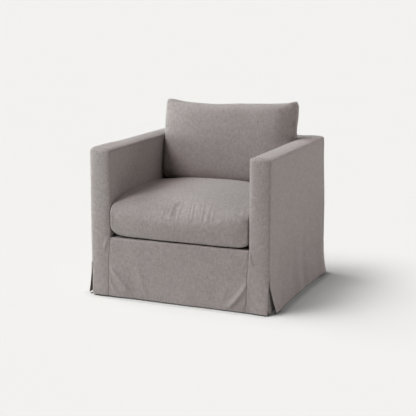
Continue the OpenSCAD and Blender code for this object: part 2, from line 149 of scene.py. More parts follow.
def across(width, step, both=True):
    """Places across a panel whose edges are rolled: lengths along the cloth, and flat distances."""
    total = ROLL_S[-1] + (width - 2 * SPAN + ROLL_S[-1] if both else width - SPAN)
    s = spread(0, total, step)
    d = np.where(s < ROLL_S[-1], np.interp(s, ROLL_S, ROLL_D), SPAN + s - ROLL_S[-1])
    if both:
        d = np.where(total - s < ROLL_S[-1], width - np.interp(total - s, ROLL_S, ROLL_D), d)
    return s, d


def seam(d, ridge=0.0):
    """Depth of the groove at a seam, with the folded allowance as a low ridge beside it."""
    return 0.0012 * np.exp(-((d / 0.0017) ** 2)) - ridge * smooth(d, 0.0006, 0.003) * (
        1 - smooth(d, 0.0085, 0.012)
    )


def pucker(along, d, seed, size=0.0005):
    """Small gathers across a seam that die out away from it."""
    wave = noise(along / 0.013, d / 0.05, seed) + 0.6 * noise(along / 0.006, d / 0.03, seed + 1)
    return size * wave * np.exp(-d / 0.014)


def loose(a, b, seed, size=0.0013):
    """The slow waves of a cover that isn't fixed to what is under it."""
    wave = noise(a / 0.19, b / 0.23, seed) + 0.35 * noise(a / 0.07, b / 0.11, seed + 1)
    return size * wave + 0.00025 * noise(a / 0.022, b / 0.03, seed + 2)


def fold(u, v, a, b, c, width, height, lean=0.0, ends=0.5):
    """A fold along the curve a-b-c on the sheet: a ridge, with a valley beside it if it leans."""
    t = np.linspace(0, 1, 40)[:, None]
    a, b, c = np.array(a), np.array(b), np.array(c)
    line = (1 - t) ** 2 * a + 2 * t * (1 - t) * b + t**2 * c
    best = np.full(u.shape, 1e9)
    side, where = np.zeros(u.shape), np.zeros(u.shape)
    for i in range(len(line) - 1):
        p, d = line[i], line[i + 1] - line[i]
        s = np.clip(((u - p[0]) * d[0] + (v - p[1]) * d[1]) / (d @ d), 0, 1)
        du, dv = u - p[0] - s * d[0], v - p[1] - s * d[1]
        r = np.hypot(du, dv)
        near = r < best
        best = np.where(near, r, best)
        side = np.where(near, np.sign(du * d[1] - dv * d[0]) * r, side)
        where = np.where(near, (i + s) / (len(line) - 1), where)
    taper = np.sin(np.pi * np.clip(where, 0.02, 0.98)) ** ends
    q = side / width
    return height * taper * np.exp(-q * q) * (1 + lean * 1.6 * q)


# ---------------------------------------------------------------- mesh
def normals(p, out):
    """Unit normals of a grid of points, on the side that out points to."""
    du, dv = np.gradient(p, axis=0), np.gradient(p, axis=1)
    n = np.cross(du, dv)
    n /= np.maximum(np.linalg.norm(n, axis=-1, keepdims=True), 1e-12)
    i, j = p.shape[0] // 2, p.shape[1] // 2
    return n if n[i, j] @ np.array(out) > 0 else -n


def quads(nu, nv):
    i, j = grid(np.arange(nu - 1), np.arange(nv - 1))
    a = i * nv + j
    return np.stack([a, a + nv, a + nv + 1, a + 1], -1).reshape(-1, 4)


def mesh_object(name, verts, faces, cloth_uv=None):
    """An object from arrays; cloth_uv holds each face corner's place on the cloth, in metres."""
    me = bpy.data.meshes.new(name)
    me.vertices.add(len(verts))
    me.vertices.foreach_set("co", np.asarray(verts, np.float32).ravel())
    me.loops.add(faces.size)
    me.loops.foreach_set("vertex_index", faces.astype(np.int32).ravel())
    me.polygons.add(len(faces))
    me.polygons.foreach_set("loop_start", np.arange(0, faces.size, faces.shape[1], dtype=np.int32))
    me.polygons.foreach_set("loop_total", np.full(len(faces), faces.shape[1], np.int32))
    me.polygons.foreach_set("use_smooth", np.ones(len(faces), bool))
    me.update(calc_edges=True)
    me.validate()
    if cloth_uv is not None:
        layer = me.uv_layers.new(name="cloth")
        layer.data.foreach_set("uv", np.asarray(cloth_uv, np.float32).ravel())
    obj = bpy.data.objects.new(name, me)
    scene.collection.objects.link(obj)
    return obj


def panel(name, point, weave, out, node):
    """A panel of the cover: a grid of points on its outer face, which looks the way of out.

    point holds the grid's x, y and z, and weave the cloth's two directions, in metres."""
    p, uv = np.stack(np.broadcast_arrays(*point), -1), np.stack(np.broadcast_arrays(*weave), -1)
    faces, verts = quads(*p.shape[:2]), p.reshape(-1, 3)
    middle = faces[len(faces) // 2]
    q = verts[middle]
    if np.cross(q[1] - q[0], q[2] - q[0]) @ normals(p, out).reshape(-1, 3)[middle[0]] < 0:
        faces = faces[:, ::-1]
    obj = mesh_object(name, verts, faces, uv.reshape(-1, 2)[faces])
    solid = obj.modifiers.new("thickness", "SOLIDIFY")
    solid.thickness, solid.offset = CLOTH, -1.0
    obj.data.materials.append(linen_cover)
    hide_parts(node)
    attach(obj, "chair")


# ---------------------------------------------------------------- materials
class Nodes:
    """A small helper that writes a material's nodes."""

    def __init__(self, name, roughness=0.8, metallic=0.0, specular=0.5):
        self.material = bpy.data.materials.new(name)
        self.material.use_nodes = True
        self.tree = self.material.node_tree
        self.shader = self.tree.nodes["Principled BSDF"]
        self.shader.inputs["Roughness"].default_value = roughness
        self.shader.inputs["Metallic"].default_value = metallic
        self.shader.inputs["Specular IOR Level"].default_value = specular

    def plug(self, value, socket):
        if isinstance(value, bpy.types.NodeSocket):
            self.tree.links.new(value, socket)
        elif value is not None:
            socket.default_value = value

    def math(self, operation, a, b=None, c=None):
        node = self.tree.nodes.new("ShaderNodeMath")
        node.operation = operation
        for value, socket in zip((a, b, c), node.inputs):
            self.plug(value, socket)
        return node.outputs[0]

    def weigh(self, parts, total=None):
        """Weighted sum of parts, added to total."""
        for value, weight in parts:
            if total is None:
                total = self.math("MULTIPLY", value, weight)
            else:
                total = self.math("MULTIPLY_ADD", value, weight, total)
        return total

    def cloth(self):
        node = self.tree.nodes.new("ShaderNodeUVMap")
        node.uv_map = "cloth"
        return node.outputs["UV"]

    def place(self):
        return self.tree.nodes.new("ShaderNodeTexCoord").outputs["Object"]

    def split(self, vector):
        node = self.tree.nodes.new("ShaderNodeSeparateXYZ")
        self.plug(vector, node.inputs[0])
        return node.outputs[0], node.outputs[1], node.outputs[2]

    def scaled(self, vector, scale):
        node = self.tree.nodes.new("ShaderNodeMapping")
        self.plug(vector, node.inputs["Vector"])
        node.inputs["Scale"].default_value = scale
        return node.outputs[0]

    def noise(self, vector, scale=1.0, detail=2.0, roughness=0.5, distortion=0.0):
        node = self.tree.nodes.new("ShaderNodeTexNoise")
        self.plug(vector, node.inputs["Vector"])
        node.inputs["Scale"].default_value = scale
        node.inputs["Detail"].default_value = detail
        node.inputs["Roughness"].default_value = roughness
        node.inputs["Distortion"].default_value = distortion
        return node.outputs["Fac"]

    def cells(self, vector, scale=1.0):
        node = self.tree.nodes.new("ShaderNodeTexVoronoi")
        self.plug(vector, node.inputs["Vector"])
        node.inputs["Scale"].default_value = scale
        return node.outputs["Distance"]

    def ramp(self, value, stops):
        node = self.tree.nodes.new("ShaderNodeValToRGB")
        self.plug(value, node.inputs["Fac"])
        ramp = node.color_ramp
        while len(ramp.elements) < len(stops):
            ramp.elements.new(0.5)
        for element, (at, colour) in zip(ramp.elements, stops):
            element.position = at
            element.color = (*colour, 1.0)
        return node.outputs["Color"]

    def rescale(self, value, low, high, a=0.0, b=1.0):
        node = self.tree.nodes.new("ShaderNodeMapRange")
        self.plug(value, node.inputs["Value"])
        for name, number in (("From Min", a), ("From Max", b), ("To Min", low), ("To Max", high)):
            node.inputs[name].default_value = number
        return node.outputs["Result"]

    def bump(self, height, distance, strength=1.0):
        node = self.tree.nodes.new("ShaderNodeBump")
        self.plug(height, node.inputs["Height"])
        node.inputs["Distance"].default_value = distance
        node.inputs["Strength"].default_value = strength
        self.tree.links.new(node.outputs["Normal"], self.shader.inputs["Normal"])

    def colour(self, socket):
        self.plug(socket, self.shader.inputs["Base Color"])

    def rough(self, socket):
        self.plug(socket, self.shader.inputs["Roughness"])


def tint(colour, factor):
    return tuple(c * factor for c in colour)


def linen(name, colour, pitch=0.0011):
    """Plain linen-look weave with slubs: uneven threads both ways, and a little mottling."""
    def uneven(across, along, detail=2, roughness=0.5):
        return m.noise(m.scaled(uv, (across, along, 1)), detail=detail, roughness=roughness)

    m = Nodes(name, roughness=0.92, specular=0.22)
    m.shader.inputs["Sheen Weight"].default_value = 0.12
    m.shader.inputs["Sheen Roughness"].default_value = 0.5
    uv = m.cloth()
    u, v, _ = m.split(uv)
    drift_u, drift_v = uneven(60, 5, 1), uneven(5, 60, 1)
    pu = m.weigh([(u, 1 / pitch), (drift_u, 1.2)])
    pv = m.weigh([(v, 1 / pitch), (drift_v, 1.2)])
    a = m.math("SINE", m.math("MULTIPLY", pu, math.pi))
    b = m.math("SINE", m.math("MULTIPLY", pv, math.pi))
    over = m.math("MULTIPLY_ADD", m.math("MULTIPLY", a, b), 0.5, 0.5)
    ridge_u, ridge_v = m.math("ABSOLUTE", a), m.math("ABSOLUTE", b)
    warp = m.math("MULTIPLY", ridge_u, m.math("POWER", m.math("ADD", ridge_v, 0.05), 0.4))
    weft = m.math("MULTIPLY", ridge_v, m.math("POWER", m.math("ADD", ridge_u, 0.05), 0.4))
    shown, hidden = m.math("MULTIPLY", warp, over), m.math("SUBTRACT", 1.0, over)
    weave = m.math("ADD", shown, m.math("MULTIPLY", weft, hidden))
    slub_warp, slub_weft = uneven(560, 30, 2, 0.55), uneven(32, 520, 2, 0.55)
    streak_warp, streak_weft = uneven(170, 40, 2, 0.6), uneven(45, 150, 2, 0.6)
    blotch, grit, cloud = uneven(80, 62, 3, 0.65), uneven(330, 300, 2, 0.6), uneven(15, 15, 3, 0.6)
    shade = m.weigh([
        (slub_weft, 0.10), (slub_warp, 0.12), (streak_warp, 0.22), (streak_weft, 0.12),
        (blotch, 0.18), (grit, 0.12), (cloud, 0.08), (weave, 0.06),
    ])
    tones = [(0.0, tint(colour, 0.68)), (0.5, colour), (1.0, tint(colour, 1.30))]
    m.colour(m.ramp(m.rescale(shade, 0.0, 1.0, 0.37, 0.63), tones))
    relief = m.weigh([(slub_weft, 0.5), (slub_warp, 0.5), (grit, 1.2), (streak_warp, 0.9)], weave)
    m.bump(relief, 0.0005, 0.7)
    return m.material


def wood(name, light, dark, along, polish=0.55):
    m = Nodes(name, roughness=polish)
    stretched = lambda across, lengthways: [lengthways if axis == along else across for axis in "xyz"]
    rings = m.noise(m.scaled(m.place(), stretched(38.0, 2.6)), 1.0, 4.0, 0.6, 1.2)
    pores = m.noise(m.scaled(m.place(), stretched(420.0, 14.0)), 1.0, 2.0, 0.6)
    tones = [(0.30, dark), (0.50, tint(light, 0.86)), (0.72, light)]
    m.colour(m.ramp(m.weigh([(rings, 0.75), (pores, 0.35)]), tones))
    m.rough(m.rescale(pores, polish + 0.1, polish - 0.08))
    m.bump(pores, 0.0004, 0.5)
    return m.material


def metal(name, colour, roughness, metallic=1.0):
    m = Nodes(name, roughness=roughness, metallic=metallic)
    stains = m.noise(m.place(), 90.0, 4.0, 0.6)
    scratches = m.noise(m.scaled(m.place(), (300, 2500, 300)), 1.0, 2.0)
    m.colour(m.ramp(stains, [(0.3, tint(colour, 0.7)), (0.6, colour), (0.8, tint(colour, 1.15))]))
    m.rough(m.rescale(scratches, roughness - 0.1, roughness + 0.15))
    m.bump(scratches, 0.0001, 0.3)
    return m.material


def fleece(name, light, dark, scale, depth, roughness=0.95):
    """Foam, wadding, felt or board: a fine mottled surface."""
    m = Nodes(name, roughness=roughness, specular=0.2)
    pores = m.cells(m.place(), scale)
    mottle = m.noise(m.place(), scale * 0.12, 4.0, 0.6)
    m.colour(m.ramp(m.weigh([(mottle, 0.8), (pores, 0.4)]), [(0.25, dark), (0.75, light)]))
    m.rough(m.rescale(mottle, roughness - 0.1, roughness + 0.04))
    m.bump(pores, depth, 0.7)
    return m.material


def webbing(name, colour, pitch, plane="xz"):
    m = Nodes(name, roughness=0.9, specular=0.2)
    axes = dict(zip("xyz", m.split(m.place())))
    a = m.math("SINE", m.math("MULTIPLY", axes[plane[0]], math.pi / pitch))
    b = m.math("SINE", m.math("MULTIPLY", axes[plane[1]], math.pi / pitch))
    weave = m.math("MULTIPLY_ADD", m.math("MULTIPLY", a, b), 0.5, 0.5)
    hairs = m.noise(m.place(), 900.0, 2.0)
    both = m.weigh([(weave, 0.65), (hairs, 0.35)])
    m.colour(m.ramp(both, [(0.2, tint(colour, 0.6)), (0.55, colour), (0.9, tint(colour, 1.25))]))
    m.bump(both, pitch * 0.3, 0.8)
    return m.material


def plastic(name, colour, roughness):
    m = Nodes(name, roughness=roughness)
    grain = m.noise(m.place(), 1400.0, 2.0)
    wear = m.noise(m.place(), 60.0, 4.0)
    m.colour(m.ramp(wear, [(0.35, colour), (0.8, tint(colour, 1.5))]))
    m.rough(m.rescale(wear, roughness - 0.08, roughness + 0.12))
    m.bump(grain, 0.0002, 0.4)
    return m.material


LINEN = (0.300, 0.268, 0.253)
MAPLE = (0.62, 0.45, 0.27), (0.36, 0.22, 0.11)
linen_cover = linen("linen", LINEN)


def paint(material, names):
    """Gives the named nodes a material; two_ before a name stands for its left and right pieces."""
    for name in names.split():
        pair = [f"{side}_{name[4:]}" for side in ("left", "right")] if name.startswith("two_") else [name]
        for node in pair:
            slots = frame["nodes"][node].data.materials
            slots.clear()
            slots.append(material)
    return material


paint(wood("maple_x", *MAPLE, "x"), "front_rail back_rail back_tack_rail back_top_rail")
paint(wood("maple_y", *MAPLE, "y"), "two_side_rail two_arm_top_rail")
paint(wood("maple_z", *MAPLE, "z"), "two_front_post two_back_post back_centre_stile")
paint(wood("poplar", (0.55, 0.42, 0.24), (0.38, 0.27, 0.13), "z", 0.7), "corner_blocks")
paint(wood("stained_foot", (0.075, 0.038, 0.022), (0.022, 0.011, 0.007), "z", 0.38), "feet")
paint(metal("zinc", (0.62, 0.63, 0.65), 0.35), "frame_screws foot_bolts foot_tee_nuts")
paint(metal("spring_steel", (0.055, 0.055, 0.06), 0.4, 0.6), "seat_springs spring_clips")
paint(metal("slider_metal", (0.22, 0.2, 0.19), 0.32), "seat_zip_slider back_zip_slider")
paint(webbing("wrapped_wire", (0.55, 0.43, 0.27), 0.0016, "xy"), "spring_tie_wires")
paint(webbing("jute", (0.46, 0.32, 0.17), 0.0018), "back_webbing")
paint(webbing("zip_tape", (0.16, 0.14, 0.13), 0.0008), "seat_cushion_zip back_cushion_zip")
paint(webbing("cambric", (0.02, 0.02, 0.022), 0.0011, "xy"), "dust_cover")
paint(
    fleece("fibreboard", (0.34, 0.22, 0.12), (0.16, 0.09, 0.045), 700.0, 0.0003, 0.75),
    "two_arm_inner_board two_arm_outer_board back_outer_board",
)
paint(fleece("felt", (0.33, 0.32, 0.31), (0.12, 0.12, 0.13), 300.0, 0.0012), "deck_insulator")
foam = paint(
    fleece("foam", (0.86, 0.78, 0.52), (0.62, 0.54, 0.33), 900.0, 0.0006),
    "deck_foam front_rail_foam two_arm_foam back_foam seat_cushion_core",
)
wadding = paint(
    fleece("wadding", (0.88, 0.87, 0.84), (0.7, 0.69, 0.66), 150.0, 0.002), "two_arm_wadding back_wadding"
)
paint(plastic("glide", (0.03, 0.03, 0.03), 0.45), "foot_glides")


# ---------------------------------------------------------------- how the skirt hangs
def front_hang(x, z):
    """How far the front of the skirt stands out from the arms, at x and z."""
    t = np.clip((0.19 - z) / (0.19 - HEM), 0, 1)
    reach = 0.0055 + 0.006 * smooth(x, -0.1, 0.36) + 0.008 * smooth(x, 0.33, 0.43)
    reach += 0.0025 * np.sin((x + 0.06) / 0.062) * smooth(x, -0.4, -0.2) * (1 - smooth(x, 0.2, 0.34))
    return reach * t**1.35


def side_hang(y, z, right):
    """How far a side of the skirt stands out, at y and z."""
    to_front, to_back = 1 - smooth(y, -HD, -0.05), smooth(y, 0.05, HD)
    top = 0.15 + 0.03 * to_front
    t = np.clip((top - z) / (top - HEM), 0, 1)
    reach = 0.0165 + 0.0115 * to_front * (1 if right else 0.9) + 0.004 * to_back
    reach += 0.002 * np.sin((y + 0.1) / 0.055) * smooth(y, -0.36, -0.2) * (1 - smooth(y, 0.2, 0.36))
    return reach * t**1.3


def back_hang(x, z):
    t = np.clip((0.17 - z) / (0.17 - HEM), 0, 1)
    reach = 0.011 + 0.004 * np.abs(x / HW) ** 3 + 0.002 * np.sin(x / 0.06)
    return reach * t**1.3


def hem_drop(x, z):
    """The front's hem hangs a little lower towards the chair's left."""
    return 0.0015 * smooth(x, -0.33, 0.12) * (1 - smooth(z, HEM, 0.12))


def seam_drift(k, z):
    """The slip cover hangs a little askew: its front seams run out of plumb below the deck."""
    return -(0.0070 - 0.0015 * k) * (1 - smooth(z, 0.16, DZ - 0.006))


def corner_push(z):
    """How far the cover stands off the back's left corner, where it hangs loose below the arms."""
    return 0.0078 * smooth(0.62 - z, 0, 0.30) * (0.35 + 0.65 * smooth(z, 0.03, 0.2))


def shut_above(z, top):
    """1 where a corner is sewn shut above its slit, falling to 0 in the slit."""
    return smooth(z, top - 0.010, top + 0.035)


def slit_open(z, top):
    """0 above a slit, rising to 1 at the hem."""
    return np.clip((top - z) / (top - HEM), 0, 1) ** 0.9


def hem_fold(z, size=0.00035):
    """The turned hem stands a little proud below its line of stitches."""
    return size * (1 - smooth(z, HEM + 0.028, HEM + 0.031)) - 0.0003 * bell(z, HEM + 0.0295, 0.0012)


# ---------------------------------------------------------------- arm boxing
def bend_points(a, r, n=8):
    """Extra places inside a bend that starts at a and has radius r."""
    return a + np.linspace(0.0008, r * math.pi / 2 - 0.0008, n)


def arm_boxing(side):
    name = SIDE_NAME[side]
    r, width = CR, HW - BX
    front_len, arc_len = AH - r - HEM, r * math.pi / 2
    top_len = 2 * (HD - r)
    total = front_len + top_len + 2 * arc_len
    s = np.sort(np.concatenate([
        spread(0, total, 0.007), bend_points(front_len, r), bend_points(front_len + arc_len + top_len, r)
    ]))
    first = np.clip((s - front_len) / r, 0, math.pi / 2)
    last = np.clip((s - front_len - arc_len - top_len) / r, 0, math.pi / 2)
    y = -HD + r * (1 - np.cos(first)) + np.clip(s - front_len - arc_len, 0, top_len) + r * np.sin(last)
    z = HEM + np.clip(s, 0, front_len) + r * np.sin(first) - r * (1 - np.cos(last))
    ny = np.where(last > 0, np.sin(last), -np.cos(first))
    nz = np.where(last > 0, np.cos(last), np.sin(first))
    along, d = across(width, 0.006)
    S, D = grid(s, d)
    Y, Z, NY, NZ = (np.broadcast_to(q[:, None], S.shape) for q in (y, z, ny, nz))
    U = np.broadcast_to(along[None], S.shape)
    front = S < front_len + arc_len / 2
    inner = np.where(front, smooth(Z, DZ - 0.034, DZ + 0.004), 1 - smooth(Y, BY - 0.010, BY + 0.014))
    slit = SLIT[side]
    outer = np.where(front, shut_above(Z, slit), 1.0)
    opened = np.where(front, slit_open(Z, slit), 0.0)
    d_in, d_out = D, width - D
    X = BX + D + (0.001 if side > 0 else -0.001) * opened * (1 - smooth(d_out, 0, 0.08))
    X = X + side * seam_drift(side, Z) * (1 - D / width) * front
    if side < 0:
        X = X + 0.0060 * smooth(D, 0, width) * smooth(Z, 0.10, 0.22) * (1 - 0.3 * smooth(Z, 0.3, 0.6))
    height = 0.002 - CROWN * ((D - width / 2) / (width / 2)) ** 2 - inner * roll(d_in) - outer * roll(d_out)
    height = height - (1 - inner) * (seam(d_in, 0.0007)) - (1 - outer) * 0.0012 * np.exp(-d_out / 0.004)
    quiet = smooth(np.minimum(d_in, d_out), 0.002, 0.02)
    height += quiet * loose(S, D * 1.6, 11 + side, 0.0012)
    height += pucker(S, d_in, 21 + side, 0.0006) * quiet + pucker(S, d_out, 25 + side, 0.0006) * quiet
    height += np.where(front, hem_fold(Z), 0.0)
    # dents where the cover bends over the arm's front edge, and the pull beside the deck's corner
    height += 0.0010 * noise(D / 0.021, S / 0.5, 31) * bell(S, front_len + arc_len * 0.5, 0.035)
    if side > 0:
        pull = fold(
            D, Z, (0.001, DZ - 0.001), (0.004, DZ - 0.035), (0.019, DZ - 0.068), 0.006, 0.0034, -0.9
        )
    else:
        pull = fold(
            D, Z, (0.004, DZ - 0.008), (0.026, DZ - 0.028), (0.024, DZ - 0.066), 0.0065, 0.0042, -0.4
        )
    height += np.where(front, pull, 0)
    low_waves = 0.0016 * smooth(0.17 - Z, 0, 0.15) * noise(D / 0.05, Z / 0.3, 33 + side)
    height += np.where(front, low_waves, 0) * quiet
    if side < 0:
        rise = smooth(D, 0.35 * width, 0.85 * width) * smooth(d_out, 0, 0.012)
        rise = rise * (1 - smooth(Y, -0.30, -0.12))
        height += 0.0042 * rise * smooth(S, front_len + 0.2 * arc_len, front_len + arc_len)
    out = np.where(front, front_hang(side * X, Z), 0.0)
    z = Z + NZ * height - hem_drop(side * X, Z) * front
    panel(
        f"arm_boxing_{name}", (side * X, Y - out + NY * height, z), (U, S), (0, 0, 1),
        f"cover_{name}_arm_boxing",
    )


# ---------------------------------------------------------------- arm sides
def side_edges(Y0, Z, front_in, back_in):
    """Moves a grid in to the outline of an arm's side; gives y, z and the distance to its seam."""
    r = 0.005
    zt = Z - SIDE_IN * smooth(Z, AH - 0.06, AH)
    rise = np.clip(zt - (AH - SIDE_IN - r), 0, r)
    bend = r - np.sqrt(np.maximum(r * r - rise * rise, 0))
    near_f, near_b = 1 - smooth(Y0, -HD, -HD + 0.14), smooth(Y0, HD - 0.14, HD)
    Y = Y0 + (front_in + bend) * near_f - (back_in + bend * (back_in > 0)) * near_b
    d_top, d_f, d_b = AH - SIDE_IN - zt, Y + HD - SIDE_IN, HD - SIDE_IN - Y
    return Y, zt, d_top, d_f, d_b


def outside_arm(side):
    name = SIDE_NAME[side]
    Y0, Z = grid(spread(-HD, HD, 0.008), spread(HEM, AH, 0.0075))
    slit = SLIT[side]
    shut_f, shut_b = shut_above(Z, slit), shut_above(Z, BACK_SLIT)
    open_f, open_b = slit_open(Z, slit), slit_open(Z, BACK_SLIT)
    Y, zt, d_top, d_f, d_b = side_edges(
        Y0, Z, SIDE_IN * shut_f + (0.031 if side > 0 else 0.015) * open_f**1.2,
        ROLL * shut_b + 0.008 * open_b**1.3
    )
    d = np.maximum(np.minimum(np.minimum(d_f, d_b), d_top), 0)
    shut = np.where(Y < 0, shut_f, shut_b)
    d_free = np.where(Y < 0, Y0 + HD, HD - Y0)
    quiet = smooth(d, 0, 0.03)
    height = -shut * (seam(d, 0.0006) + 0.0006) - (1 - shut) * 0.0012 * np.exp(-d_free / 0.004)
    height += quiet * loose(Y0, Z, 41 + side, 0.0018) + hem_fold(Z, 0.0009)
    height += shut * pucker(np.where(d_top < d_f, Y0, Z), d, 45 + side, 0.0006)
    # long soft folds that fall from the arm to the hem
    height += 0.0028 * smooth(0.5 - Z, 0.0, 0.45) * noise(Y0 / 0.070, Z / 0.6, 51 + side) * smooth(d, 0, 0.05)
    stand_off = corner_push(Z) * smooth(Y0, 0.12, 0.38)
    if side < 0:
        stand_off = 0.0070 * smooth(Z, 0.10, 0.22) * (1 - 0.3 * smooth(Z, 0.3, 0.6))
        stand_off = stand_off * (1 - smooth(Y0, -0.25, 0.25))
    X = HW + side_hang(Y0, Z, side > 0) + height + stand_off
    panel(
        f"outside_arm_{name}", (side * X, Y, zt), (Y0 + HD, Z), (side, 0, 0),
        f"cover_{name}_outside_arm",
    )


def inside_arm(side):
    name = SIDE_NAME[side]
    Y0, Z = grid(spread(-HD, BY, 0.008, end=False), spread(DZ - 0.030, AH, 0.0075, start=False))
    Y, zt, d_top, d_f, _ = side_edges(Y0, Z, SIDE_IN + 0 * Y0, 0 * Y0)
    d = np.maximum(np.minimum(d_f, d_top), 0)
    quiet = smooth(d, 0, 0.03) * smooth(Z, DZ, DZ + 0.05)
    height = quiet * loose(Y0, Z, 61 + side, 0.0013) - seam(d, 0.0009) - 0.0004
    height += pucker(np.where(d_top < d_f, Y0, Z), d, 65 + side, 0.0005)
    height += 0.0014 * quiet * noise((Y0 + Z) / 0.09, (Y0 - Z) / 0.3, 67 + side)
    panel(
        f"inside_arm_{name}", (side * (BX - height), Y, zt), (Y0 + HD, Z), (-side, 0, 0),
        f"cover_{name}_inside_arm",
    )


# ---------------------------------------------------------------- front, deck and back
def front_panel():
    front_len, arc_len = DZ - EDGE - HEM, EDGE * math.pi / 2
    back_len = DECK_Y0 - (-HD + EDGE)
    s = np.sort(np.concatenate([
        spread(0, front_len + arc_len + back_len, 0.0055, end=False), bend_points(front_len, EDGE)
    ]))
    angle = np.clip((s - front_len) / EDGE, 0, math.pi / 2)
    y = -HD + EDGE * (1 - np.cos(angle)) + np.clip(s - front_len - arc_len, 0, None)
    z = HEM + np.clip(s, 0, front_len) + EDGE * np.sin(angle)
    X, S = grid(spread(-BX, BX, 0.0055), s)
    Y, Z, NY, NZ = (np.broadcast_to(q, X.shape) for q in (y, z, -np.cos(angle), np.sin(angle)))
    d = BX - np.abs(X)
    edge_at = front_len + arc_len * 0.45
    sideways = seam_drift(X / BX, Z) * (S < front_len + arc_len)
    height = -0.0015 * np.exp(-d / 0.03) - seam(d, 0.0003) * (1 - smooth(S, front_len, front_len + arc_len))
    quiet = smooth(d, 0, 0.03)
    height += quiet * loose(X, S, 71, 0.0015) + pucker(S, d, 75, 0.0008) + hem_fold(Z)
    # the deck's edge is drawn down at both ends, with short pulls that fan out from there
    height += 0.0012 * noise(X / 0.03, S / 0.3, 77) * bell(S, edge_at, 0.03)
    for k in (-1, 1):
        for dx, dz, h in ((0.06, 0.045, 0.0016), (0.09, 0.022, 0.0012), (0.026, 0.080, 0.0015)):
            height += fold(
                X, S, (k * (BX - 0.004), edge_at - 0.012), (k * (BX - dx * 0.4), edge_at - 0.012 - dz * 0.6),
                (k * (BX - dx), edge_at - 0.012 - dz), 0.0045, h, 0.5,
            )
    # drape folds that fall from the seams to the hem in the lower corners
    for a, b, c, w, h, lean in (
        ((-0.334, 0.134), (-0.294, 0.094), (-0.222, 0.014), 0.0100, 0.0056, -0.6),
        ((-0.334, 0.096), (-0.331, 0.050), (-0.300, 0.018), 0.0065, 0.0034, -0.5),
        ((-0.262, 0.110), (-0.236, 0.060), (-0.186, 0.000), 0.0110, 0.0018, -0.3),
        ((-0.200, 0.170), (-0.176, 0.090), (-0.146, -0.004), 0.0120, 0.0015, -0.3),
        ((0.336, 0.114), (0.296, 0.042), (0.250, 0.010), 0.0115, 0.0070, 0.6),
        ((0.334, 0.052), (0.326, 0.026), (0.306, 0.002), 0.0080, 0.0020, 0.4),
        ((0.250, 0.110), (0.230, 0.060), (0.196, -0.002), 0.0120, 0.0012, 0.3),
    ):
        height += fold(X, S, a, b, c, w, h, lean)
    height += 0.0018 * smooth(0.17 - Z, 0, 0.15) * noise(X / 0.055, S / 0.4, 79) * quiet
    height = np.maximum(height, -0.0009 - 0.05 * smooth(0.20 - Z, 0, 0.05))
    out = front_hang(X, Z) * (S < front_len + arc_len)
    z = Z + NZ * height - hem_drop(X, Z)
    panel(
        "front_panel", (X + sideways, Y - out + NY * height, z), (X + BX, S), (0, -1, 0),
        "cover_front_panel",
    )


def deck():
    X, Y = grid(np.linspace(-DECK_X, DECK_X, 80), np.linspace(DECK_Y0, DECK_Y1, 76))
    edge = np.minimum(DECK_X - np.abs(X), np.minimum(Y - DECK_Y0, DECK_Y1 - Y))
    Z = DZ - 0.0002 + 0.0004 * loose(X, Y, 81, 1.0) * smooth(edge, 0, 0.05)
    Z = np.minimum(Z, DZ + 0.0006)
    panel(
        "deck", (X, Y, Z), (X, Y), (0, 0, 1),
        "cover_deck",
    )


def inside_back():
    X, Z = grid(np.linspace(-BX, BX, 90), spread(DZ + 0.001, AH, 0.0085, start=False))
    zt = Z - SIDE_IN * smooth(Z, AH - 0.06, AH)
    d = AH - SIDE_IN - zt
    height = -seam(d, 0.0008) - 0.0004 + pucker(X, d, 85) + smooth(d, 0, 0.03) * loose(X, Z, 87, 0.0009)
    panel(
        "inside_back", (X, BY - height, zt), (X, Z), (0, -1, 0),
        "cover_inside_back",
    )


def back_boxing():
    r = CR
    top_len, arc_len = HD - r - BY, r * math.pi / 2
    along, s = across(top_len + arc_len, 0.006, both=False)
    more = bend_points(top_len, r, 7)
    along, s = (np.sort(np.concatenate([q, m])) for q, m in ((along, more + along[-1] - s[-1]), (s, more)))
    angle = np.clip((s - top_len) / r, 0, math.pi / 2)
    y = BY + np.clip(s, 0, top_len) + r * np.sin(angle)
    z = AH - r * (1 - np.cos(angle))
    X, S = grid(spread(-BX, BX, 0.008), s)
    Y, Z, NY, NZ, U = (np.broadcast_to(q, X.shape) for q in (y, z, np.sin(angle), np.cos(angle), along))
    d_in, d_end, d_back = S, BX - np.abs(X), top_len + arc_len - S
    quiet = smooth(np.minimum(np.minimum(d_in, d_back), d_end), 0.002, 0.02)
    height = -roll(d_in) - 0.0015 + 0.0035 * smooth(d_end, 0, 0.05) * smooth(d_back, 0, 0.05)
    height = height - seam(d_end, 0.0004) - seam(d_back, 0.0)
    height += quiet * (loose(X, S * 1.6, 91, 0.0009) + pucker(X, d_in, 93)) + pucker(X, d_back, 95) * quiet
    panel(
        "back_boxing", (X, Y + NY * height, Z + NZ * height), (U, X), (0, 0, 1),
        "cover_back_boxing",
    )


